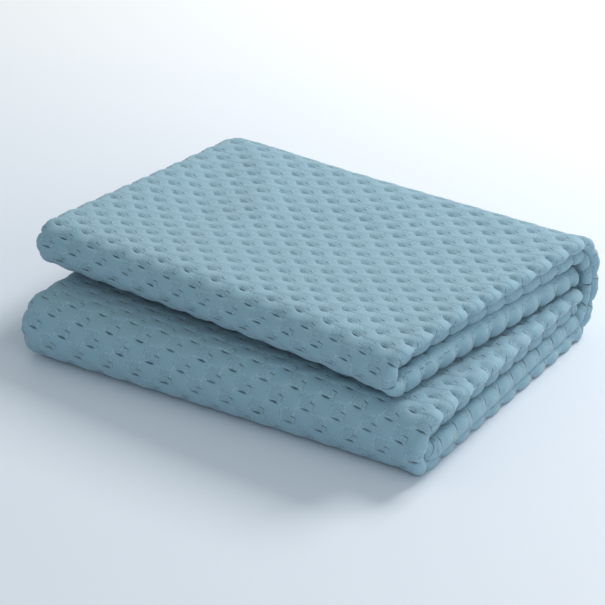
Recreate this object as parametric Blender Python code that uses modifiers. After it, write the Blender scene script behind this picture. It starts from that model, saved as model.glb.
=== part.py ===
"""A waffle weave cotton blanket, folded twice: first across its length into a strip of four plies,
then the strip into a stack of four runs, two bundles high.

Metres, +Z up.  X runs along the stack, -Y is its front and Z = 0 is the surface that it lies on.
The whole cloth is one sheet.  A point of it is found from two places: where it is across the strip
(its ply, and how far along it), and where the strip is on its way through the stack (its run or bend).
"""

from typing import NamedTuple

import bmesh
import bpy
import numpy as np

# ---- the cloth ----
SHEET = 0.0024  # thickness of one ply, pressed
COLOUR = (0.335, 0.560, 0.625, 1.0)
ROUGHNESS = 0.85

# ---- the folded stack ----
LENGTH = 0.500  # along X, from the left wrap to the right folds
DEPTH = 0.398  # along Y, of the upper bundle
PLY = 0.0085  # how far a ply stands out from its neighbour where it turns a fold
BACK_PLY = 0.0055  # the same in the back wrap, which is drawn tight

# ---- across the strip, in plies from its middle ----
OUTER_PLY = 1.5
INNER_PLY = 0.5
PAIR_MIDDLE = 1.0  # the middle of the two plies that one right fold joins
PAIR_PUFF = 0.62  # half the height of a right fold, which is fuller than the plies behind it
PUFF_FROM = 0.86  # where along a ply that fullness starts
FREE_EDGE = 0.03  # where the two free edges lie, along the ply
INNER_STEPS = 4  # grid steps along plies 2, 3 and 4
OUTER_STEPS = 8  # along ply 1, which shows
TURN_STEPS = 5  # round a right fold
WRAP_STEPS = 6  # round the left wrap

# ---- along the strip, heights in plies above the floor ----
LEVEL_RUN_4 = 2.0
LEVEL_RUN_3 = 6.0
LEVEL_MIDDLE = 8.0
LEVEL_RUN_2 = 10.0
LEVEL_RUN_1 = 14.0
FRONT_TURN = 2.0  # radius of the two front folds, in plies
BACK_TURN = 6.0  # radius of the back wrap, in plies
END_GAP = 0.030  # how far short of the back wrap the strip's two ends stop

# ---- the lower bundle stands out from the upper one ----
LOWER_TWIST = 0.120  # radians that it fans out about the back right corner
LOWER_FORWARD = 0.004
LOWER_LEFT = 0.016  # how much further its left end reaches
FRONT_LIFT = 0.003  # the gap that opens between the bundles at the front
LIFT_FROM = 0.5  # how far back that gap reaches, in parts of the depth
BACK_LEFT = 0.016  # how much further the left end reaches at the back

LEFT = -LENGTH / 2 + OUTER_PLY * PLY + SHEET / 2
RIGHT = LENGTH / 2 - PAIR_PUFF * PLY - SHEET / 2
FRONT = -DEPTH / 2 + (FRONT_TURN + OUTER_PLY) * PLY + SHEET / 2
BACK = DEPTH / 2 - (BACK_TURN + OUTER_PLY) * BACK_PLY - SHEET / 2


class Corner(NamedTuple):
    """The height that one ply takes up at a corner of the stack, in each bundle."""

    name: str
    along: float  # 0 at the left, 1 at the right
    back: float  # 0 at the front, 1 at the back
    lower: float
    upper: float


CORNERS = (
    Corner("front left", 0, 0, 0.0100, 0.0068),
    Corner("front right", 1, 0, 0.0106, 0.0070),
    Corner("back left", 0, 1, 0.0066, 0.0066),
    Corner("back right", 1, 1, 0.0084, 0.0080),
)


class Swell(NamedTuple):
    """A soft rise or dip in the height of the stack."""

    name: str
    x: float
    y: float
    wide: float
    deep: float
    height: float  # of the top, in parts of the height there


SWELLS = (
    Swell("back left hump", -0.20, 0.15, 0.08, 0.07, 0.030),
    Swell("left end", -0.25, -0.02, 0.06, 0.16, 0.035),
    Swell("front shoulder", -0.05, -0.16, 0.18, 0.05, 0.020),
    Swell("middle hollow", 0.02, 0.02, 0.14, 0.09, -0.025),
    Swell("right back dip", 0.20, 0.06, 0.07, 0.07, -0.012),
    Swell("front right corner", 0.27, -0.21, 0.09, 0.08, -0.070),
)


class Stretch(NamedTuple):
    """One run or bend of the strip, and how far its right folds reach past the stack's own edge."""

    name: str
    steps: int
    outer_start: float
    outer_end: float
    inner_start: float
    inner_end: float


STRETCHES = (
    Stretch("run 2", 6, -0.006, 0.000, -0.014, -0.016),
    Stretch("upper front fold", 6, 0.000, 0.000, -0.016, -0.012),
    Stretch("run 1", 9, 0.000, 0.000, -0.012, -0.005),
    Stretch("back wrap", 8, 0.000, -0.006, -0.005, -0.006),
    Stretch("run 4", 7, -0.006, -0.010, -0.006, -0.002),
    Stretch("lower front fold", 6, -0.010, 0.000, -0.002, -0.012),
    Stretch("run 3", 8, 0.000, -0.004, -0.012, -0.010),
)


def smooth(value: np.ndarray) -> np.ndarray:
    """Goes from 0 to 1 as the value does, level at both ends."""
    t = np.clip(value, 0.0, 1.0)
    return t * t * (3.0 - 2.0 * t)


def strip_section() -> tuple[np.ndarray, np.ndarray, np.ndarray, np.ndarray]:
    """The section across the strip, from one free edge to the other.

    Each point has its place along the ply (0 left, 1 right), its height in plies from the strip's
    middle, how far it stands out past the ply's end, and 1 where it belongs to the outer pair.
    """
    ply_2 = np.linspace(FREE_EDGE, 1.0, INNER_STEPS + 1)
    ply_1 = np.linspace(1.0, 0.0, OUTER_STEPS + 1)
    ply_4 = np.linspace(0.0, 1.0, INNER_STEPS + 1)
    ply_3 = np.linspace(1.0, FREE_EDGE, INNER_STEPS + 1)
    turn = np.linspace(-np.pi / 2, np.pi / 2, TURN_STEPS + 1)
    fold_height = PAIR_PUFF * np.sin(turn)
    fold_stand = PAIR_PUFF * PLY * np.cos(turn)
    wrap = np.linspace(np.pi / 2, -np.pi / 2, WRAP_STEPS + 1)
    wrap_height = OUTER_PLY * np.sin(wrap)
    wrap_stand = -OUTER_PLY * PLY * np.cos(wrap)

    def puff(place: np.ndarray) -> np.ndarray:
        spread = smooth((place - PUFF_FROM) / (1.0 - PUFF_FROM))
        return INNER_PLY + (PAIR_PUFF - INNER_PLY) * spread

    def piece(*columns: np.ndarray | float) -> np.ndarray:
        return np.stack(np.broadcast_arrays(*columns)).astype(float)

    pieces = (
        piece(ply_2, PAIR_MIDDLE - puff(ply_2), 0.0, 1.0),
        piece(1.0, PAIR_MIDDLE + fold_height, fold_stand, 1.0)[:, 1:-1],
        piece(ply_1, PAIR_MIDDLE + puff(ply_1), 0.0, 1.0),
        piece(0.0, wrap_height, wrap_stand, (1.0 + np.sin(wrap)) / 2)[:, 1:-1],
        piece(ply_4, -PAIR_MIDDLE - puff(ply_4), 0.0, 0.0),
        piece(1.0, -PAIR_MIDDLE + fold_height, fold_stand, 0.0)[:, 1:-1],
        piece(ply_3, -PAIR_MIDDLE + puff(ply_3), 0.0, 0.0),
    )
    return tuple(np.concatenate(pieces, axis=1))


def strip_path() -> tuple[np.ndarray, ...]:
    """The strip's way through the stack, from the end of run 2 to the end of run 3.

    Each point has its middle's place along Y and height in plies, the radius of its bend in plies
    (0 on a run), the outward direction along Y and up, the reach of the two right folds, and 1 where
    it belongs to the lower bundle.
    """
    end = BACK + BACK_TURN * BACK_PLY - END_GAP
    rows = []
    for number, stretch in enumerate(STRETCHES):
        t = np.linspace(0.0, 1.0, stretch.steps + 1)
        t = t if number == 0 else t[1:]
        half = np.pi * (t - 0.5)
        still = np.zeros_like(t)
        y, level, turn, out, up, lower = {
            "run 2": (end + (FRONT - end) * t, still + LEVEL_RUN_2, still, still, still - 1, still),
            "upper front fold": (
                still + FRONT, still + LEVEL_RUN_1 - FRONT_TURN, still + FRONT_TURN,
                -np.cos(half) * PLY, np.sin(half), still,
            ),
            "run 1": (FRONT + (BACK - FRONT) * t, still + LEVEL_RUN_1, still, still, still + 1, still),
            "back wrap": (
                still + BACK, still + LEVEL_MIDDLE, still + BACK_TURN,
                np.cos(half) * BACK_PLY, -np.sin(half), smooth(t),
            ),
            "run 4": (BACK + (FRONT - BACK) * t, still + LEVEL_RUN_4, still, still, still - 1, still + 1),
            "lower front fold": (
                still + FRONT, still + LEVEL_RUN_3 - FRONT_TURN, still + FRONT_TURN,
                -np.cos(half) * PLY, np.sin(half), still + 1,
            ),
            "run 3": (FRONT + (end - FRONT) * t, still + LEVEL_RUN_3, still, still, still + 1, still + 1),
        }[stretch.name]
        outer = stretch.outer_start + (stretch.outer_end - stretch.outer_start) * smooth(t)
        inner = stretch.inner_start + (stretch.inner_end - stretch.inner_start) * smooth(t)
        rows.append(np.stack([y, level, turn, out, up, outer, inner, lower]))
    return tuple(np.concatenate(rows, axis=1))


def between_corners(field: str, along: np.ndarray, back: np.ndarray) -> np.ndarray:
    """A corner's column, spread evenly between the four corners."""
    total = np.zeros(np.broadcast(along, back).shape)
    for corner in CORNERS:
        share_x = along if corner.along else 1.0 - along
        share_y = back if corner.back else 1.0 - back
        total = total + getattr(corner, field) * share_x * share_y
    return total


def settle(x: np.ndarray, y: np.ndarray, level: np.ndarray, lower: np.ndarray) -> tuple[np.ndarray, ...]:
    """Turns heights in plies into metres, with the stack's wedge, swells and gap.

    It also fans the lower bundle out, to the front and the right, and draws the back left corner out.
    """
    along = np.clip(x / LENGTH + 0.5, 0.0, 1.0)
    back = np.clip(y / DEPTH + 0.5, 0.0, 1.0)
    swell = 1.0 + sum(
        s.height * np.exp(-(((x - s.x) / s.wide) ** 2) - ((y - s.y) / s.deep) ** 2) for s in SWELLS
    )
    low_unit = between_corners("lower", along, back) * swell
    high_unit = between_corners("upper", along, back) * swell
    gap = FRONT_LIFT * smooth(1.0 - back / LIFT_FROM)
    below = np.minimum(level, LEVEL_MIDDLE) - (LEVEL_RUN_4 - OUTER_PLY)
    above = np.maximum(level - LEVEL_MIDDLE, 0.0)
    z = SHEET / 2 + np.maximum(below, 0.0) * low_unit + above * high_unit + gap * smooth(above)
    ahead = (LOWER_TWIST * (LENGTH / 2 - x) + LOWER_FORWARD) * (1.0 - back)
    aside = LOWER_TWIST * (DEPTH / 2 - y) - LOWER_LEFT * (1.0 - along) * (1.0 - back)
    x = x - BACK_LEFT * (1.0 - along) * back
    x = x + lower * aside
    y = y - lower * ahead
    return x, y, z


def folded_points() -> np.ndarray:
    """Every point of the sheet's middle surface, rows along the strip and columns across it."""
    place, height, stand, pair = (a[None, :] for a in strip_section())
    y, level, turn, out, up, outer, inner, lower = (a[:, None] for a in strip_path())
    reach = RIGHT + outer * pair + inner * (1.0 - pair)
    x = LEFT + (reach - LEFT) * place + stand
    y = y + out * (turn + height)
    level = level + up * (turn + height)
    x, y, z = settle(x, y, level, lower + np.zeros_like(x))
    return np.stack([x, y, z], axis=-1)


def cloth_material() -> bpy.types.Material:
    """The blanket's cotton, plain."""
    material = bpy.data.materials.new("waffle_cotton")
    material.use_nodes = True
    shader = material.node_tree.nodes["Principled BSDF"]
    shader.inputs["Base Color"].default_value = COLOUR
    shader.inputs["Roughness"].default_value = ROUGHNESS
    shader.inputs["Metallic"].default_value = 0.0
    return material


def folded_blanket(collection: bpy.types.Collection) -> bpy.types.Object:
    """The sheet: a flat grid whose points are carried to their folded places, then given its thickness."""
    points = folded_points()
    rows, columns = points.shape[:2]
    points[..., :2] -= (points[..., :2].min((0, 1)) + points[..., :2].max((0, 1))) / 2
    mesh = bpy.data.meshes.new("blanket")
    grid = bmesh.new()
    bmesh.ops.create_grid(grid, x_segments=columns - 1, y_segments=rows - 1, size=1.0)
    for vertex in grid.verts:
        column = round((vertex.co.x + 1.0) / 2.0 * (columns - 1))
        row = round((vertex.co.y + 1.0) / 2.0 * (rows - 1))
        vertex.co = points[row, column]
    grid.to_mesh(mesh)
    grid.free()
    mesh.materials.append(cloth_material())
    mesh.shade_smooth()
    blanket = bpy.data.objects.new("blanket", mesh)
    collection.objects.link(blanket)
    thickness = blanket.modifiers.new("thickness", "SOLIDIFY")
    thickness.thickness = SHEET
    thickness.offset = 0.0
    return blanket


def main() -> None:
    """Clears the scene and makes the blanket."""
    for old in list(bpy.data.objects):
        bpy.data.objects.remove(old, do_unlink=True)
    collection = bpy.data.collections.new("waffle_blanket")
    bpy.context.scene.collection.children.link(collection)
    folded_blanket(collection)


main()
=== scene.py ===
"""The looks of a folded waffle weave cotton blanket.

One sheet of cloth is worked out as a surface of two parameters, across the strip and along it,
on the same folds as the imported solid, at the fineness of the weave: pillowed satin cells, ribbed
squares between them, and a short deep slot behind each cell.  Metres, +Z up.
"""

import logging
import math
from dataclasses import dataclass, field
from enum import Enum
from typing import NamedTuple

import bpy
import numpy as np
from mathutils import Matrix, Vector


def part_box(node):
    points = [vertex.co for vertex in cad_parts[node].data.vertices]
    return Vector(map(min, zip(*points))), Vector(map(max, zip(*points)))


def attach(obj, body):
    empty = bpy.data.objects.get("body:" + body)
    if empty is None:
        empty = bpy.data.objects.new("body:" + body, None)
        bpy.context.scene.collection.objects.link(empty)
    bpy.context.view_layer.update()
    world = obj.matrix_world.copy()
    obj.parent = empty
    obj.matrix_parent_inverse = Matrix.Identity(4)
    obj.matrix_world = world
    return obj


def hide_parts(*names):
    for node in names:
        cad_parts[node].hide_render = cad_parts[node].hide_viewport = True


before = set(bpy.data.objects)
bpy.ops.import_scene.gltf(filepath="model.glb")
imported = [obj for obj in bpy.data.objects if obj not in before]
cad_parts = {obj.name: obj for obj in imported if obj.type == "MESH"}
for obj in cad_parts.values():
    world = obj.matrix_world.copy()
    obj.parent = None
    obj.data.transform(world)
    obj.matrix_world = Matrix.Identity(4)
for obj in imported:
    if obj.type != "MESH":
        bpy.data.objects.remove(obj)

log = logging.getLogger("waffle_blanket")
Array = np.ndarray
LEAST_GAP = 1e-9
LEAST_AREA = 1e-12
MIX_FACTOR, MIX_FIRST, MIX_SECOND, MIX_COLOUR = 0, 6, 7, 2


def smooth(value: Array) -> Array:
    """Goes from 0 to 1 as the value does, level at both ends: 3t^2 - 2t^3."""
    t = np.clip(value, 0.0, 1.0)
    return t * t * (3.0 - 2.0 * t)


def bump_at(value: Array, centre: float, spread: float) -> Array:
    """A soft rise of height 1 about a centre: exp(-((v - c) / s)^2)."""
    return np.exp(-(((value - centre) / spread) ** 2))


class Ply(Enum):
    """The stretches of the section across the strip, in order, from one free edge to the other."""

    PLY_2 = 0
    OUTER_FOLD = 1
    PLY_1 = 2
    LEFT_WRAP = 3
    PLY_4 = 4
    INNER_FOLD = 5
    PLY_3 = 6


class Way(Enum):
    """The stretches of the strip's way through the stack, in order."""

    RUN_2 = 0
    UPPER_FRONT = 1
    RUN_1 = 2
    BACK_WRAP = 3
    RUN_4 = 4
    LOWER_FRONT = 5
    RUN_3 = 6


class Corner(NamedTuple):
    """The height that one ply takes up at a corner of the stack, in each bundle."""

    name: str
    along: float
    back: float
    lower: float
    upper: float


class Swell(NamedTuple):
    """A soft rise or dip in the height of the stack, in parts of the height there."""

    name: str
    x: float
    y: float
    wide: float
    deep: float
    height: float


class Roll(NamedTuple):
    """How the two right folds lie along a stretch of the strip, at even steps from start to end.

    The reaches are metres past the stack's own edge.  The ends of plies 2, 3 and 4 are heights in
    plies from the strip's middle: they say how full each fold is.
    """

    way: Way
    outer: tuple[float, ...]
    inner: tuple[float, ...]
    ply_2: tuple[float, ...]
    ply_3: tuple[float, ...]
    ply_4: tuple[float, ...]


class Crease(NamedTuple):
    """A soft trough or ridge on the top, pressed along a straight line."""

    name: str
    start: tuple[float, float]
    end: tuple[float, float]
    width: float
    height: float


CORNERS = (
    Corner("front left", 0, 0, 0.0100, 0.0068),
    Corner("front right", 1, 0, 0.0106, 0.0070),
    Corner("back left", 0, 1, 0.0066, 0.0066),
    Corner("back right", 1, 1, 0.0084, 0.0080),
)
SWELLS = (
    Swell("back left hump", -0.20, 0.15, 0.08, 0.07, 0.030),
    Swell("left end", -0.25, -0.02, 0.06, 0.16, 0.035),
    Swell("front shoulder", -0.05, -0.16, 0.18, 0.05, 0.020),
    Swell("middle hollow", 0.02, 0.02, 0.14, 0.09, -0.025),
    Swell("right back dip", 0.20, 0.06, 0.07, 0.07, -0.012),
    Swell("front right corner", 0.27, -0.21, 0.09, 0.08, -0.070),
)
ROLLS = (
    Roll(
        Way.RUN_2, (-0.006, -0.002, 0.0), (-0.036, -0.036),
        (-0.8, -1.5, -1.6, -1.5, -1.2), (-0.45, -0.45), (-1.55, -1.55),
    ),
    Roll(
        Way.UPPER_FRONT, (0.0, 0.0), (-0.036, -0.034, -0.026, -0.010),
        (-1.2, 0.2, 0.6, 0.75), (-0.45, -0.2, 0.2), (-1.55, -1.9),
    ),
    Roll(Way.RUN_1, (0.0, 0.0), (-0.010, -0.004), (0.75, 0.6), (0.2, 0.0), (-1.9, -1.85)),
    Roll(Way.BACK_WRAP, (0.0, -0.006), (-0.004, -0.006), (0.6, 0.3, 0.1), (0.0, -0.1), (-1.85, -1.95)),
    Roll(Way.RUN_4, (-0.006, -0.010), (-0.006, -0.002), (0.1, 0.1), (-0.1, -0.1), (-1.95, -1.95)),
    Roll(Way.LOWER_FRONT, (-0.010, 0.0), (-0.002, -0.012), (0.1, 0.5, 0.6), (-0.1, 0.0), (-1.95, -1.8)),
    Roll(Way.RUN_3, (0.0, -0.004), (-0.012, -0.010), (0.6, 0.5), (0.0, 0.0), (-1.8, -1.8)),
)
CREASES = (
    Crease("ridge from the back left corner", (-0.22, 0.18), (-0.06, -0.02), 0.020, 0.0022),
    Crease("trough in front of it", (-0.24, 0.10), (-0.12, -0.06), 0.026, -0.0020),
    Crease("front shoulder ridge", (-0.16, -0.165), (0.16, -0.150), 0.014, 0.0012),
    Crease("trough along the middle", (-0.04, 0.06), (0.20, 0.02), 0.034, -0.0014),
    Crease("back right trough", (0.05, 0.15), (0.22, 0.10), 0.022, -0.0014),
)


@dataclass(frozen=True)
class Stack:
    """The folded stack: its sizes, and where each point of the sheet's middle lies.

    A point is found from p, its place across the strip, and q, its place along the strip's way.
    Both count stretches: 2.5 is half way through the third one.  A right fold stands out by
    fold_least plies and fold_round times its half height.  The back wrap takes back_stretch times
    the cloth of a half circle.
    """

    sheet: float = 0.0024
    length: float = 0.500
    depth: float = 0.398
    ply: float = 0.0085
    back_ply: float = 0.0055
    outer_ply: float = 1.5
    inner_ply: float = 0.5
    fold_end: float = 1.62
    puff_from: float = 0.945
    free_edge: float = 0.03
    level_run_4: float = 2.0
    level_run_3: float = 6.0
    level_middle: float = 8.0
    level_run_2: float = 10.0
    level_run_1: float = 14.0
    front_turn: float = 2.0
    back_turn: float = 6.0
    end_gap: float = 0.030
    lower_twist: float = 0.120
    lower_forward: float = 0.004
    lower_left: float = 0.016
    front_lift: float = 0.003
    lift_from: float = 0.5
    back_left: float = 0.016
    fold_least: float = 0.37
    fold_round: float = 0.40
    back_stretch: float = 1.25

    @property
    def left(self) -> float:
        """Where the left wrap starts."""
        return -self.length / 2 + self.outer_ply * self.ply + self.sheet / 2

    @property
    def front(self) -> float:
        """Where the front folds start."""
        return -self.depth / 2 + (self.front_turn + self.outer_ply) * self.ply + self.sheet / 2

    @property
    def back(self) -> float:
        """Where the back wrap starts."""
        return self.depth / 2 - (self.back_turn + self.outer_ply) * self.back_ply - self.sheet / 2

    @property
    def strip_end(self) -> float:
        """Where the strip's two ends stop, short of the back wrap."""
        return self.back + self.back_turn * self.back_ply - self.end_gap

    def across_lengths(self) -> Array:
        """The cloth's length in each stretch of the section, in metres, in Ply's order."""
        straight = self.length / 2 - self.left
        half_fold = (self.fold_end - self.inner_ply) / 2 * self.ply
        fold = math.pi * half_fold
        wrap = math.pi * self.outer_ply * self.ply
        return np.array([straight, fold, straight, wrap, straight, fold, straight])

    def along_lengths(self) -> Array:
        """The outer ply's length in each stretch of the way, in metres, in Way's order."""
        run = self.back - self.front
        end_run = self.strip_end - self.front
        turn = math.pi * (self.front_turn + self.outer_ply) * self.ply
        wrap = math.pi * (self.back_turn + self.outer_ply) * self.back_ply * self.back_stretch
        return np.array([end_run, turn, run, wrap, run, turn, end_run])

    def way(self, q: Array) -> tuple[Array, ...]:
        """The strip's middle along its way.

        On a run it goes straight along Y at its level.  On a bend it turns half round a centre, so
        a ply at radius r in plies stands r * cos past the centre along Y and r * sin above it.

        Args:
            q: place along the way, in stretches.

        Returns:
            Y, level, bend radius in plies, outward step along Y in metres a ply, outward step up
            in plies a ply, and the share of the lower bundle.
        """
        number = np.clip(np.floor(q), 0, len(Way) - 1)
        t = q - number
        half = np.pi * (t - 0.5)
        none = np.zeros_like(t)
        run_back = self.front + (self.back - self.front) * t
        run_front = self.back + (self.front - self.back) * t
        to_end = self.front + (self.strip_end - self.front) * t
        from_end = self.strip_end + (self.front - self.strip_end) * t
        front_out = -np.cos(half) * self.ply
        rows = {
            Way.RUN_2: (from_end, none + self.level_run_2, none, none, none - 1, none),
            Way.UPPER_FRONT: (
                none + self.front, none + self.level_run_1 - self.front_turn,
                none + self.front_turn, front_out, np.sin(half), none,
            ),
            Way.RUN_1: (run_back, none + self.level_run_1, none, none, none + 1, none),
            Way.BACK_WRAP: (
                none + self.back, none + self.level_middle, none + self.back_turn,
                np.cos(half) * self.back_ply, -np.sin(half), smooth(t),
            ),
            Way.RUN_4: (run_front, none + self.level_run_4, none, none, none - 1, none + 1),
            Way.LOWER_FRONT: (
                none + self.front, none + self.level_run_3 - self.front_turn,
                none + self.front_turn, front_out, np.sin(half), none + 1,
            ),
            Way.RUN_3: (to_end, none + self.level_run_3, none, none, none + 1, none + 1),
        }
        chosen = [number == way.value for way in Way]
        columns = zip(*(rows[way] for way in Way))
        return tuple(np.select(chosen, list(column)) for column in columns)

    def roll(self, name: str, q: Array) -> Array:
        """A column of the rolls' table at q, going smoothly from each value to the next."""
        values = [getattr(row, name) for row in ROLLS]
        knots = [row.way.value + np.linspace(0, 1, len(v)) for row, v in zip(ROLLS, values)]
        places, values = np.concatenate(knots), np.concatenate(values)
        number = np.clip(np.searchsorted(places, q, side="right") - 1, 0, len(places) - 2)
        gap = np.maximum(places[number + 1] - places[number], LEAST_GAP)
        share = smooth((q - places[number]) / gap)
        return values[number] + (values[number + 1] - values[number]) * share

    def section(self, p: Array, q: Array) -> tuple[Array, Array]:
        """The section across the strip.

        A ply lies straight at its own height, and its right end leans to the height where its fold
        starts.  A fold of half height h and depth d stands d * cos past its ply and h * sin above
        the fold's middle.

        Args:
            p: place across the strip, in stretches.
            q: place along the way, in stretches.

        Returns:
            X in metres, and height in plies from the strip's middle.
        """
        number = np.clip(np.floor(p), 0, len(Ply) - 1)
        t = p - number
        kinds = [number == ply.value for ply in Ply]
        none = 0.0 * t
        full = 1.0 + none
        forward = self.free_edge + (1.0 - self.free_edge) * t
        backward = 1.0 - (1.0 - self.free_edge) * t
        place = np.select(kinds, [forward, full, 1.0 - t, none, t, full, backward])
        lean = smooth((place - self.puff_from) / (1.0 - self.puff_from))
        end_2, end_3, end_4 = (self.roll(name, q) for name in ("ply_2", "ply_3", "ply_4"))
        end_1 = self.fold_end
        angle = np.pi * (t - 0.5)
        outer_half, inner_half = (end_1 - end_2) / 2, (end_3 - end_4) / 2
        heights = [
            self.inner_ply + (end_2 - self.inner_ply) * lean,
            (end_1 + end_2) / 2 + outer_half * np.sin(angle),
            self.outer_ply + (end_1 - self.outer_ply) * lean,
            -self.outer_ply * np.sin(angle),
            -self.outer_ply + (end_4 + self.outer_ply) * lean,
            (end_3 + end_4) / 2 + inner_half * np.sin(angle),
            -self.inner_ply + (end_3 + self.inner_ply) * lean,
        ]
        outer_depth = self.ply * (self.fold_least + self.fold_round * outer_half)
        inner_depth = self.ply * (self.fold_least + self.fold_round * inner_half)
        outer_fold = outer_depth * np.cos(angle)
        inner_fold = inner_depth * np.cos(angle)
        wrap = self.outer_ply * self.ply * np.cos(angle)
        stand = np.select(kinds, [none, outer_fold, none, -wrap, none, inner_fold, none])
        wrap_pair = (1.0 - np.sin(angle)) / 2
        pair = np.select(kinds, [full, full, full, wrap_pair, none, none, none])
        edge = self.length / 2 - self.sheet / 2
        outer_reach = edge - outer_depth + self.roll("outer", q)
        inner_reach = edge - inner_depth + self.roll("inner", q)
        reach = outer_reach * pair + inner_reach * (1.0 - pair)
        return self.left + (reach - self.left) * place + stand, np.select(kinds, heights)

    def unit(self, name: str, along: Array, back: Array) -> Array:
        """A corner's column, spread evenly between the four corners."""
        total = 0.0
        for corner in CORNERS:
            share_x = along if corner.along else 1.0 - along
            share_y = back if corner.back else 1.0 - back
            total = total + getattr(corner, name) * share_x * share_y
        return total

    def settle(self, x: Array, y: Array, level: Array, lower: Array) -> Array:
        """Turns heights in plies into metres and fans the lower bundle out.

        Below the middle a ply takes up the lower height and above it the upper one, each times
        1 plus the swells, and the bundles part by a gap that closes towards the back.
        """
        along = np.clip(x / self.length + 0.5, 0.0, 1.0)
        back = np.clip(y / self.depth + 0.5, 0.0, 1.0)
        swell = 1.0 + sum(s.height * bump_at(x, s.x, s.wide) * bump_at(y, s.y, s.deep) for s in SWELLS)
        low_unit = self.unit("lower", along, back) * swell
        high_unit = self.unit("upper", along, back) * swell
        gap = self.front_lift * smooth(1.0 - back / self.lift_from)
        below = np.minimum(level, self.level_middle) - (self.level_run_4 - self.outer_ply)
        above = np.maximum(level - self.level_middle, 0.0)
        z = self.sheet / 2 + np.maximum(below, 0.0) * low_unit + above * high_unit + gap * smooth(above)
        ahead = (self.lower_twist * (self.length / 2 - x) + self.lower_forward) * (1.0 - back)
        aside = self.lower_twist * (self.depth / 2 - y) - self.lower_left * (1.0 - along) * (1.0 - back)
        x = x - self.back_left * (1.0 - along) * back
        return np.stack([x + lower * aside, y - lower * ahead, z], axis=-1)

    def points(self, p: Array, q: Array) -> Array:
        """The sheet's middle at p and q, in metres, before the creases."""
        x, height = self.section(p, q)
        y, level, turn, out, up, lower = self.way(q)
        return self.settle(x, y + out * (turn + height), level + up * (turn + height), lower)


@dataclass(frozen=True)
class Weave:
    """The waffle weave: satin cells on every second place of a lattice, ribbed squares between.

    i counts half pitches across the strip and j along it.  A satin cell's middle is where i and j
    are whole and i + j is even, and a ribbed square's where i + j is odd.
    """

    across: float = 0.500 / 26
    along: float = 0.398 / 24.6
    cell: float = 0.58
    square: float = 0.42
    pillow: float = 0.0011
    tilt: float = 0.0007
    square_rise: float = 0.0004
    slot: float = 0.0019
    slot_at: float = 0.50
    slot_half: float = 0.33
    slot_wide: float = 0.085
    wale: float = 0.0016
    wale_at: float = -0.25
    wale_crest: float = 0.80
    slot_slant: float = 0.06
    square_lean: float = 0.5

    def nearest(self, i: Array, j: Array) -> tuple[Array, Array]:
        """The step from the nearest satin cell's middle, by the diagonals (i + j) / 2, (i - j) / 2."""
        m, n = (i + j) / 2, (i - j) / 2
        dm, dn = m - np.round(m), n - np.round(n)
        return dm + dn, dm - dn

    def height(self, i: Array, j: Array) -> Array:
        """How far the face stands off the cloth's middle plane.

        A satin cell is a rounded octagon of radius r = 1: its pillow is 1 - r^4, leaning up to its
        front by -b.  A ribbed square has a low pillow.  A slot sinks behind each satin cell.
        Wales run along the diagonals (i - j) / 2, rising to a crest and dropping at the next slots.

        Args:
            i: place across the strip, in half pitches.
            j: place along it, in half pitches.

        Returns:
            Heights in metres.
        """
        a, b = self.nearest(i, j)
        r = np.maximum(np.maximum(np.abs(a), np.abs(b)) / self.cell, np.abs(a) + np.abs(b))
        inside = np.clip(1.0 - r**4, 0.0, 1.0)
        a2, b2 = self.nearest(i + 1.0, j)
        r2 = np.maximum(np.abs(a2), np.abs(b2)) / self.square
        square = np.clip(1.0 - r2**4, 0.0, 1.0)
        lens = np.clip(1.0 - (a / self.slot_half) ** 2, 0.0, 1.0)
        slot = bump_at(b + self.slot_slant * a, self.slot_at, self.slot_wide) * np.sqrt(lens)
        step = (i - j) / 2 - self.wale_at
        step = step - np.floor(step)
        wale = smooth(step / self.wale_crest) * smooth((1.0 - step) / (1.0 - self.wale_crest))
        rise = self.pillow * inside - self.tilt * b * inside + self.square_rise * square
        return rise + self.wale * wale - self.tilt * self.square_lean * b2 * square - self.slot * slot


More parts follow.
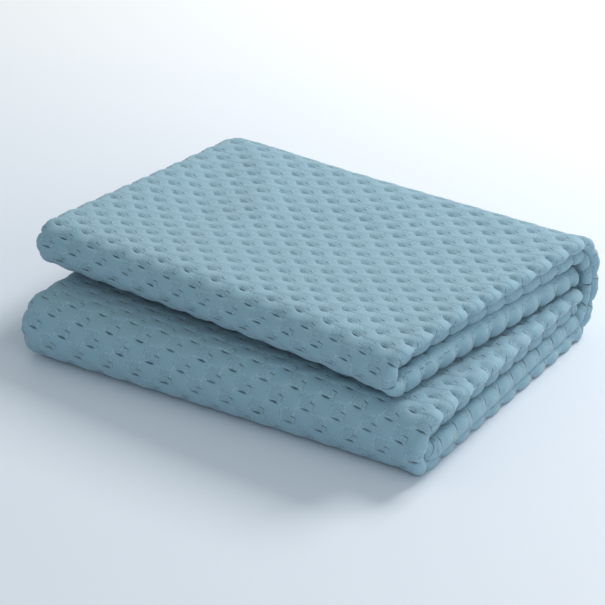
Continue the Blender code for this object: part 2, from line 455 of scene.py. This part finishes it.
@dataclass(frozen=True)
class Grid:
    """Where the sheet's grid lines run, as places across and along in metres of cloth.

    They gather at the borders of the weave's cells where the cloth shows, and spread out in the
    plies that lie hidden inside the stack.
    """

    stack: Stack
    weave: Weave
    across_steps: tuple[float, ...] = (-0.5, -0.3, -0.1, 0.1, 0.3)
    fine_steps: tuple[float, ...] = (-0.5, -0.42, -0.3, -0.05, 0.2, 0.38)
    medium_steps: tuple[float, ...] = (-0.5, -0.38, 0.0, 0.36)
    plain_steps: tuple[float, ...] = (-0.5, -0.15, 0.2)
    hidden_step: float = 0.040
    near_fold: float = 0.028
    outer_mouth_step: float = 0.0045
    inner_mouth_step: float = 0.0050
    wrap_step: float = 0.0040
    fold_lines: int = 11
    inner_coarser: float = 1.1
    ledge_pitches: int = 5
    least_gap: float = 0.2 / 6

    def lattice(self, start: float, end: float, pitch: float, steps: tuple[float, ...]) -> Array:
        """Lines between two places, at the given steps about each whole number of half pitches."""
        first, last = math.floor(start / pitch) - 1, math.ceil(end / pitch) + 1
        lines = (np.arange(first, last)[:, None] + np.array(steps)[None, :]).ravel() * pitch
        clear = self.least_gap * self.weave.along
        return lines[(lines > start + clear) & (lines < end - clear)]

    def even(self, start: float, end: float, step: float) -> Array:
        """Evenly spaced lines from start up to but not at the end."""
        return np.linspace(start, end, max(2, round((end - start) / step)), endpoint=False)

    def across(self) -> Array:
        """The lines across the strip, in metres of cloth from its first free edge."""
        ends = np.concatenate([[0.0], np.cumsum(self.stack.across_lengths())])
        fold_step = self.stack.across_lengths()[Ply.OUTER_FOLD.value] / self.fold_lines
        near = self.near_fold
        lines = [
            self.even(ends[0], ends[1] - near, self.hidden_step),
            self.even(ends[1] - near, ends[1], self.outer_mouth_step),
            self.even(ends[1], ends[2], fold_step),
            self.lattice(ends[2], ends[3], self.weave.across, self.across_steps),
            self.even(ends[3], ends[4], self.wrap_step),
            self.even(ends[4], ends[5] - near, self.hidden_step),
            self.even(ends[5] - near, ends[5], self.inner_mouth_step),
            self.even(ends[5], ends[6], fold_step * self.inner_coarser),
            self.even(ends[6], ends[6] + near, self.inner_mouth_step),
            self.even(ends[6] + near, ends[7], self.hidden_step),
            ends[7:],
        ]
        return np.concatenate(lines)

    def along(self) -> Array:
        """The lines along the strip, in metres of cloth from its first end."""
        ends = np.concatenate([[0.0], np.cumsum(self.stack.along_lengths())])
        pitch = self.weave.along
        ledge = self.ledge_pitches * pitch
        lines = [
            ends[:1],
            self.lattice(ends[0], ends[1], pitch, self.plain_steps),
            self.lattice(ends[1], ends[3], pitch, self.fine_steps),
            self.lattice(ends[3], ends[4], pitch, self.medium_steps),
            self.lattice(ends[4], ends[5], pitch, self.plain_steps),
            self.lattice(ends[5], ends[6] + ledge, pitch, self.fine_steps),
            self.lattice(ends[6] + ledge, ends[7], pitch, self.plain_steps),
            ends[7:],
        ]
        return np.concatenate(lines)

    @staticmethod
    def stretches(place: Array, lengths: Array) -> Array:
        """Turns metres of cloth into a count of stretches."""
        ends = np.concatenate([[0.0], np.cumsum(lengths)])
        return np.interp(place, ends, np.arange(len(ends)))


class Shade:
    """A value in a material, with arithmetic that adds its Math nodes."""

    def __init__(self, tree: "Tree", socket: bpy.types.NodeSocket) -> None:
        self.tree = tree
        self.socket = socket

    def math(self, operation: str, *values: "Shade | float") -> "Shade":
        """A Math node on these values."""
        inputs = {k: value for k, value in enumerate(values)}
        return self.tree.add("ShaderNodeMath", {"operation": operation}, inputs)

    def __add__(self, other: "Shade | float") -> "Shade":
        """self + other"""
        return self.math("ADD", self, other)

    __radd__ = __add__

    def __mul__(self, other: "Shade | float") -> "Shade":
        """self * other"""
        return self.math("MULTIPLY", self, other)

    __rmul__ = __mul__

    def __sub__(self, other: "Shade | float") -> "Shade":
        """self - other"""
        return self.math("SUBTRACT", self, other)

    def __rsub__(self, other: "Shade | float") -> "Shade":
        """other - self"""
        return self.math("SUBTRACT", other, self)

    def __truediv__(self, other: "Shade | float") -> "Shade":
        """self / other"""
        return self.math("DIVIDE", self, other)

    def __abs__(self) -> "Shade":
        """The size without the sign."""
        return self.math("ABSOLUTE", self)

    def sine(self) -> "Shade":
        """The sine of the value, in radians."""
        return self.math("SINE", self)

    def off_round(self) -> "Shade":
        """The step from the nearest whole number."""
        return self - self.math("FLOOR", self + 0.5)

    def most(self, other: "Shade | float") -> "Shade":
        """The larger of the two."""
        return self.math("MAXIMUM", self, other)

    def ramp(self, low: float, high: float) -> "Shade":
        """Goes smoothly from 0 at low to 1 at high, or back where high is the lower one."""
        start, end = (low, high) if low < high else (high, low)
        inputs = {"Value": self, "From Min": start, "From Max": end}
        settings = {"interpolation_type": "SMOOTHSTEP"}
        up = self.tree.add("ShaderNodeMapRange", settings, inputs)
        return up if low < high else 1.0 - up


class Tree:
    """A material's nodes."""

    def __init__(self, name: str) -> None:
        self.material = bpy.data.materials.new(name)
        self.material.use_nodes = True
        self.nodes = self.material.node_tree.nodes
        self.links = self.material.node_tree.links
        self.shader = self.nodes["Principled BSDF"]

    def set(self, node: bpy.types.Node, inputs: dict) -> None:
        """Sets or links a node's sockets.

        Args:
            node: the node.
            inputs: values or shades, by the sockets' names or numbers.
        """
        for name, value in inputs.items():
            socket = node.inputs[name]
            if isinstance(value, Shade):
                self.links.new(value.socket, socket)
            else:
                socket.default_value = value

    def add(
        self,
        kind: str,
        settings: dict | None = None,
        inputs: dict | None = None,
        output: int | str = 0,
    ) -> Shade:
        """Any node.

        Args:
            kind: the node's type.
            settings: its properties, set first.
            inputs: its sockets' values or shades.
            output: which of its outputs is meant.

        Returns:
            That output.
        """
        node = self.nodes.new(kind)
        for name, value in (settings or {}).items():
            setattr(node, name, value)
        self.set(node, inputs or {})
        return Shade(self, node.outputs[output])

    def mix(self, factor: Shade | float, first: Shade | tuple, second: Shade | tuple) -> Shade:
        """A Mix node on colours."""
        inputs = {MIX_FACTOR: factor, MIX_FIRST: first, MIX_SECOND: second}
        return self.add("ShaderNodeMix", {"data_type": "RGBA"}, inputs, MIX_COLOUR)

    def noise(self, place: Shade, scale: float, detail: float) -> Shade:
        """A noise at a place, from 0 to 1."""
        inputs = {"Vector": place, "Scale": scale, "Detail": detail}
        return self.add("ShaderNodeTexNoise", None, inputs)


class Stroke(NamedTuple):
    """A short stroke of painted shade in the weave: its middle and its half size, each along it and over
    it.

    They are in half pitches, from a satin cell's middle.
    """

    centre: tuple[float, float]
    half: tuple[float, float]


@dataclass(frozen=True)
class CottonFinish:
    """Soft cotton in a waffle weave, dyed one pale blue-green."""

    colour: tuple[float, float, float, float] = (0.275, 0.460, 0.560, 1.0)
    # painted shade: the colour that the slots and creases are darkened towards
    deep: tuple[float, float, float, float] = (0.030, 0.080, 0.110, 1.0)
    # pale tone that differs at random, and the painted highlight on the cells' rims
    pale_tone_and_highlight: tuple[float, float, float, float] = (0.360, 0.560, 0.665, 1.0)
    roughness: float = 0.82
    sheen: float = 0.25
    sheen_roughness: float = 0.45
    shine: float = 0.35
    cell: float = 0.58
    slot: Stroke = Stroke((0.0, 0.50), (0.34, 0.085))
    slot_slant: float = 0.10
    small: Stroke = Stroke((-0.62, -0.215), (0.24, 0.070))
    small_slant: float = 0.25
    left: Stroke = Stroke((-0.30, -0.505), (0.30, 0.030))
    right: Stroke = Stroke((0.02, 0.535), (0.46, 0.030))
    wander_noise: tuple[float, float] = (0.9, 1.0)
    wander_across: float = 0.10
    wander_along: float = 0.07
    uneven_noise: tuple[float, float] = (0.45, 2.0)
    speckle_noise: tuple[float, float] = (620.0, 3.0)
    cloud_noise: tuple[float, float] = (11.0, 2.0)
    rib_turns: float = 46.0
    yarn_turns: float = 120.0
    bump_strength: float = 0.75
    bump_depth: float = 0.0011

    def material(self) -> bpy.types.Material:
        """The cotton, on the weave map's half pitches.

        The satin cells are a little deeper in colour, painted shade darkens the slots and creases,
        a painted highlight lightens the rims of the cells, and the ribbed squares are broken up by
        their yarns.
        """
        tree = Tree("waffle_cotton")
        uv = tree.add("ShaderNodeUVMap", {"uv_map": "weave"})
        i = tree.add("ShaderNodeSeparateXYZ", None, {0: uv}, 0)
        j = tree.add("ShaderNodeSeparateXYZ", None, {0: uv}, 1)
        grain = tree.add("ShaderNodeTexCoord", None, None, "Object")
        wander = tree.noise(uv, *self.wander_noise) - 0.5
        dm, dn = ((i + j) / 2.0).off_round(), ((i - j) / 2.0).off_round()
        a = dm + dn + wander * self.wander_across
        b = dm - dn + wander * self.wander_along
        around = (abs(a).most(abs(b)) / self.cell).most(abs(a) + abs(b))
        cell = around.ramp(1.0, 0.84)
        # the cells' rims, where a highlight is painted light
        highlit_rim = around.ramp(0.80, 0.98) * around.ramp(1.20, 1.0)
        # strokes where shade is painted dark, also sunk in the bump: the slot behind each cell, and the
        # creases
        slot = self.lens(a, b + self.slot_slant * a, self.slot)
        small = self.lens(a, b + self.small_slant * a, self.small)
        left = self.lens(b, a, self.left)
        right = self.lens(b, a, self.right)
        uneven = tree.noise(uv, *self.uneven_noise).ramp(0.30, 0.62)
        speckle = tree.noise(grain, *self.speckle_noise) - 0.5
        ribs = (b * self.rib_turns + speckle * 3.0).sine()
        yarn = (a * self.yarn_turns + wander * 8.0).sine()
        cloud = tree.noise(grain, *self.cloud_noise)
        outside = 1.0 - cell
        # painted shade: how dark the creases and the slots are painted
        crease = (left * uneven * 0.7).most(right * uneven * 0.55).most(small * 0.85)
        dark = (slot * (uneven * 0.35 + 0.60)).most(crease * 0.75)
        # painted highlight on the rims, plus tone that differs at random in the speckle and the cloud
        light = highlit_rim * (speckle * 1.6 + 0.22) + outside * speckle * 1.6 + (cloud - 0.5) * 0.30
        colour = tree.mix(light.ramp(-0.35, 0.85), self.shaded(0.84), self.pale_tone_and_highlight)
        colour = tree.mix(cell * 0.30, colour, self.shaded(0.92))
        # paints the shade into the slots and creases
        colour = tree.mix(dark * 0.90, colour, self.deep)
        height = highlit_rim * 0.15 + outside * (ribs * 0.10 + speckle * 1.3) + cell * yarn * 0.030
        height = height + speckle * 0.25 - slot * 1.3 - crease * 0.8
        bump_inputs = {"Strength": self.bump_strength, "Distance": self.bump_depth, "Height": height}
        bump = tree.add("ShaderNodeBump", None, bump_inputs)
        rough = self.roughness + outside * 0.06 - cell * 0.08
        tree.set(tree.shader, {
            "Base Color": colour,
            "Roughness": rough,
            "Normal": bump,
            "Sheen Weight": self.sheen,
            "Sheen Roughness": self.sheen_roughness,
            "Specular IOR Level": self.shine,
        })
        return tree.material

    def shaded(self, share: float) -> tuple[float, float, float, float]:
        """The dye's colour at a share of its brightness."""
        red, green, blue, alpha = self.colour
        return (red * share, green * share, blue * share, alpha)

    @staticmethod
    def lens(along: Shade, over: Shade, stroke: Stroke) -> Shade:
        """A short soft stroke: 1 - |over| / half width - (along / half length)^2, from 0 to 1."""
        step = (along - stroke.centre[0]) / stroke.half[0]
        side = abs(over - stroke.centre[1]) / stroke.half[1]
        return (1.0 - side - step * step).ramp(0.0, 0.75)


@dataclass(frozen=True)
class FloorFinish:
    """A pale, slightly glossy floor that turns white towards the back."""

    near: tuple[float, float, float, float] = (0.78, 0.83, 0.90, 1.0)
    far: tuple[float, float, float, float] = (1.0, 1.0, 1.0, 1.0)
    near_end: float = 0.15
    far_end: float = 1.4
    roughness: float = 0.42
    shine: float = 0.3

    def material(self, away: Vector) -> bpy.types.Material:
        """The floor's finish, lighter with the distance along a level direction."""
        tree = Tree("pale_floor")
        place = tree.add("ShaderNodeTexCoord", None, None, "Object")
        settings = {"operation": "DOT_PRODUCT"}
        depth = tree.add("ShaderNodeVectorMath", settings, {0: place, 1: tuple(away)}, "Value")
        colour = tree.mix(depth.ramp(self.near_end, self.far_end), self.near, self.far)
        tree.set(tree.shader, {
            "Base Color": colour,
            "Roughness": self.roughness,
            "Specular IOR Level": self.shine,
        })
        return tree.material


@dataclass
class Blanket:
    """The folded blanket, one piece of cloth."""

    stack: Stack = field(default_factory=Stack)
    weave: Weave = field(default_factory=Weave)
    finish: CottonFinish = field(default_factory=CottonFinish)
    thickness: float = 0.0026
    back_every: int = 6
    flat: tuple[float, float] = (2.0, 1.5)
    wander: float = 0.0013
    roll_relief: float = 1.5
    inner_relief: float = 1.1
    mouth_relief: float = 0.7
    bend_relief: float = 0.35
    relief_fade: float = 0.05
    mouth_start: float = 0.07
    mouth_end: float = 0.93
    crease_over: float = 0.15
    edge_across: float = 0.10
    edge_along: float = 0.12

    def surface(self) -> tuple[Array, Array, Array, Array]:
        """The two faces of the cloth on the grid.

        Returns:
            The face side and the back side, rows along the strip by columns across it by XYZ, and
            the weave's i and j there.
        """
        grid = Grid(self.stack, self.weave)
        across, along = grid.across(), grid.along()
        log.info("grid of %d by %d lines", len(along), len(across))
        i = np.broadcast_to(-across[None, :] / self.weave.across, (len(along), len(across)))
        j = np.broadcast_to(along[:, None] / self.weave.along, (len(along), len(across)))
        drift_u = self.wander * (np.sin(0.61 * j + 0.35 * i) + 0.6 * np.sin(0.23 * i - 0.47 * j + 1.3))
        drift_v = self.wander * (np.sin(0.53 * i + 0.29 * j + 0.8) + 0.6 * np.sin(0.31 * j - 0.41 * i))
        s = np.clip(across[None, :] + drift_u, 0.0, across[-1])
        t = np.clip(along[:, None] + drift_v, 0.0, along[-1])
        s[:, [0, -1]] = across[[0, -1]]
        t[[0, -1], :] = along[[0, -1], None]
        p = grid.stretches(s, self.stack.across_lengths())
        q = grid.stretches(t, self.stack.along_lengths())
        middle = self.stack.points(p, q)
        middle = self.crease(middle, p, q)
        across_way, along_way = np.gradient(middle, axis=1), np.gradient(middle, axis=0)
        normal = np.cross(across_way, along_way)
        normal /= np.linalg.norm(normal, axis=-1, keepdims=True) + LEAST_AREA
        normal *= self.outward(normal, p, q)
        relief = self.weave.height(i, j) * self.shows(p, q)
        face = middle + normal * (self.stack.sheet / 2 + relief)[..., None]
        reverse = middle + normal * (self.stack.sheet / 2 - self.thickness)
        return face, reverse, i, j

    @staticmethod
    def outward(normal: Array, p: Array, q: Array) -> float:
        """1 or -1, so that the normals of the top run point up."""
        on_top = (np.floor(p) == Ply.PLY_1.value) & (np.floor(q) == Way.RUN_1.value)
        return float(np.sign(normal[..., 2][on_top].mean()))

    def shows(self, p: Array, q: Array) -> Array:
        """How much of the weave's relief each place has: none in the hidden plies."""
        kinds = [np.floor(p) == ply.value for ply in Ply]
        t = p - np.floor(p)
        near_end = smooth((t - self.mouth_end) / self.relief_fade)
        near_start = smooth((self.mouth_start - t) / self.relief_fade)
        plain = 1.0 + 0 * t
        fold = self.roll_relief + 0 * t
        inner_fold = self.inner_relief + 0 * t
        fold_side = smooth((self.relief_fade - t) / self.relief_fade)
        ply_1 = 1.0 + (self.roll_relief - 1.0) * fold_side
        ply_4 = self.mouth_relief * near_end
        ply_3 = self.mouth_relief * near_start
        share = np.select(kinds, [fold * near_end, fold, ply_1, plain, ply_4, inner_fold, ply_3])
        bend = np.isin(np.floor(q), (Way.UPPER_FRONT.value, Way.LOWER_FRONT.value))
        inner = p > Ply.PLY_4.value
        return np.where(bend & inner, self.bend_relief * share, share)

    def crease(self, middle: Array, p: Array, q: Array) -> Array:
        """Presses the creases into the top run.

        Each lifts the points by its height times exp(-(d / w)^2), with d the distance to its line,
        less towards the line's two ends.
        """
        x, y = middle[..., 0], middle[..., 1]
        lift = np.zeros_like(x)
        for c in CREASES:
            dx, dy = c.end[0] - c.start[0], c.end[1] - c.start[1]
            long = math.hypot(dx, dy)
            t = ((x - c.start[0]) * dx + (y - c.start[1]) * dy) / long**2
            off = ((x - c.start[0]) * dy - (y - c.start[1]) * dx) / long
            over = self.crease_over
            ends = smooth((t + over) / (2 * over)) * smooth((1.0 + over - t) / (2 * over))
            lift = lift + c.height * np.exp(-((off / c.width) ** 2)) * ends
        top = (np.floor(q) == Way.RUN_1.value) & (np.floor(p) == Ply.PLY_1.value)
        t_q, t_p = q - Way.RUN_1.value, p - Ply.PLY_1.value
        fade_q = smooth(t_q / self.edge_along) * smooth((1.0 - t_q) / self.edge_along)
        fade_p = smooth(t_p / self.edge_across) * smooth((1.0 - t_p) / self.edge_across)
        out = middle.copy()
        out[..., 2] = middle[..., 2] + np.where(top, lift * fade_q * fade_p, 0.0)
        return out

    def faces(self, rows: int, columns: int) -> tuple[list, Array, Array]:
        """The cloth's faces: quads on the face side, larger quads on the back, and its four rims.

        Args:
            rows: the grid's lines along the strip.
            columns: its lines across.

        Returns:
            Each face's vertex numbers, and the rows and columns that the back side keeps.
        """
        every = self.back_every
        keep_rows = np.unique(np.append(np.arange(0, rows, every), rows - 1))
        keep_columns = np.unique(np.append(np.arange(0, columns, every), columns - 1))
        number = np.arange(rows * columns).reshape(rows, columns)
        back = rows * columns + np.arange(len(keep_rows) * len(keep_columns)).reshape(len(keep_rows), -1)
        front_quads = np.stack([number[:-1, :-1], number[:-1, 1:], number[1:, 1:], number[1:, :-1]], -1)
        back_quads = np.stack([back[:-1, :-1], back[1:, :-1], back[1:, 1:], back[:-1, 1:]], -1)
        found = front_quads.reshape(-1, 4).tolist() + back_quads.reshape(-1, 4).tolist()
        rims = (
            (number[0, :], back[0, :], keep_columns, False),
            (number[-1, :], back[-1, :], keep_columns, True),
            (number[:, 0], back[:, 0], keep_rows, True),
            (number[:, -1], back[:, -1], keep_rows, False),
        )
        for front_line, back_line, kept, turned in rims:
            for k in range(len(kept) - 1):
                edge = front_line[kept[k] : kept[k + 1] + 1].tolist()
                loop = edge[::-1] + [int(back_line[k]), int(back_line[k + 1])]
                found.append(loop[::-1] if turned else loop)
        return found, keep_rows, keep_columns

    def build(self) -> bpy.types.Object:
        """Makes the cloth's mesh, with its weave map, and dresses it."""
        face, reverse, i, j = self.surface()
        rows, columns = i.shape
        faces, keep_rows, keep_columns = self.faces(rows, columns)
        kept = np.ix_(keep_rows, keep_columns)
        points = np.concatenate([face.reshape(-1, 3), reverse[kept].reshape(-1, 3)])
        places = np.concatenate(
            [np.stack([i, j], -1).reshape(-1, 2), np.stack([i[kept], j[kept]], -1).reshape(-1, 2)]
        )
        low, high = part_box("blanket")
        middle = (points[:, :2].min(0) + points[:, :2].max(0)) / 2
        points[:, :2] += np.array(((low + high) / 2)[:2]) - middle
        points[:, 2] = np.maximum(points[:, 2], low.z)
        mesh = bpy.data.meshes.new("waffle_blanket")
        mesh.from_pydata(points.tolist(), [], faces)
        corners = np.empty(len(mesh.loops), dtype=np.int32)
        mesh.loops.foreach_get("vertex_index", corners)
        layer = mesh.uv_layers.new(name="weave")
        layer.data.foreach_set("uv", places[corners].astype(np.float32).ravel())
        mesh.shade_smooth()
        mesh.materials.append(self.finish.material())
        piece = bpy.data.objects.new("waffle_blanket", mesh)
        bpy.context.scene.collection.objects.link(piece)
        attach(piece, "root")
        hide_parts("blanket")
        mesh.calc_loop_triangles()
        log.info("%s: %d triangles", piece.name, len(mesh.loop_triangles))
        return piece


class Lamp(NamedTuple):
    """A square soft light that faces the blanket, in metres and watts."""

    name: str
    place: tuple[float, float, float]
    size: float
    power: float
    colour: tuple[float, float, float]


LAMPS = (
    Lamp("key", (0.35, 1.9, 1.75), 1.0, 52.0, (1.0, 0.965, 0.945)),
    Lamp("right_fill", (2.2, -0.9, 1.1), 1.6, 12.0, (1.0, 0.98, 0.97)),
)


@dataclass
class Studio:
    """A pale floor, soft light from behind and above, and the camera."""

    azimuth: float = 38.2
    elevation: float = 28.0
    lens: float = 175.5
    distance: float = 3.309
    aim_height: float = 0.05
    aim_right: float = -0.0108
    aim_up: float = 0.0014
    far_clip: float = 100.0
    floor_size: float = 30.0
    floor_drop: float = 0.0003
    world_colour: tuple[float, float, float, float] = (0.86, 0.96, 1.0, 1.0)
    world_strength: float = 0.50

    def directions(self) -> tuple[Vector, Vector, Vector]:
        """The unit steps towards the camera, to its right and up."""
        a, e = math.radians(self.azimuth), math.radians(self.elevation)
        back = Vector((math.sin(a) * math.cos(e), -math.cos(a) * math.cos(e), math.sin(e)))
        right = Vector((math.cos(a), math.sin(a), 0.0))
        return back, right, back.cross(right)

    def camera(self) -> bpy.types.Object:
        """The camera, set as the scene's own."""
        back, right, up = self.directions()
        aim = Vector((0.0, 0.0, self.aim_height)) + right * self.aim_right + up * self.aim_up
        data = bpy.data.cameras.new("camera")
        data.lens = self.lens
        data.clip_end = self.far_clip
        camera = bpy.data.objects.new("camera", data)
        turn = Matrix((right, up, back)).transposed()
        camera.matrix_world = Matrix.Translation(aim + back * self.distance) @ turn.to_4x4()
        bpy.context.scene.collection.objects.link(camera)
        bpy.context.scene.camera = camera
        return camera

    def floor(self) -> bpy.types.Object:
        """A wide level floor just under the blanket."""
        back, _, _ = self.directions()
        away = Vector((-back.x, -back.y, 0.0)).normalized()
        half = self.floor_size / 2
        mesh = bpy.data.meshes.new("floor")
        corners = [(-half, -half, 0), (half, -half, 0), (half, half, 0), (-half, half, 0)]
        mesh.from_pydata(corners, [], [(0, 1, 2, 3)])
        mesh.materials.append(FloorFinish().material(away))
        floor = bpy.data.objects.new("floor", mesh)
        floor.location.z = -self.floor_drop
        bpy.context.scene.collection.objects.link(floor)
        return floor

    @staticmethod
    def area(lamp: Lamp) -> None:
        """Hangs one lamp."""
        data = bpy.data.lights.new(lamp.name, "AREA")
        data.size = lamp.size
        data.energy = lamp.power
        data.color = lamp.colour
        light = bpy.data.objects.new(lamp.name, data)
        light.location = lamp.place
        light.rotation_euler = (-Vector(lamp.place)).to_track_quat("-Z", "Y").to_euler()
        bpy.context.scene.collection.objects.link(light)

    def light(self) -> None:
        """The pale surroundings, a soft light behind and above, and a faint fill on the right."""
        world = bpy.data.worlds.new("studio")
        world.use_nodes = True
        surround = world.node_tree.nodes["Background"]
        surround.inputs["Color"].default_value = self.world_colour
        surround.inputs["Strength"].default_value = self.world_strength
        bpy.context.scene.world = world
        for lamp in LAMPS:
            self.area(lamp)

    def build(self) -> None:
        """Sets the whole studio up."""
        self.camera()
        self.floor()
        self.light()
        bpy.context.scene.view_settings.view_transform = "Standard"


def main() -> None:
    """Builds the studio and the blanket."""
    logging.basicConfig(level=logging.INFO, format="%(name)s: %(message)s")
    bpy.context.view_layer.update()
    Studio().build()
    Blanket().build()
    bpy.context.view_layer.update()


if __name__ == "__main__":
    main()
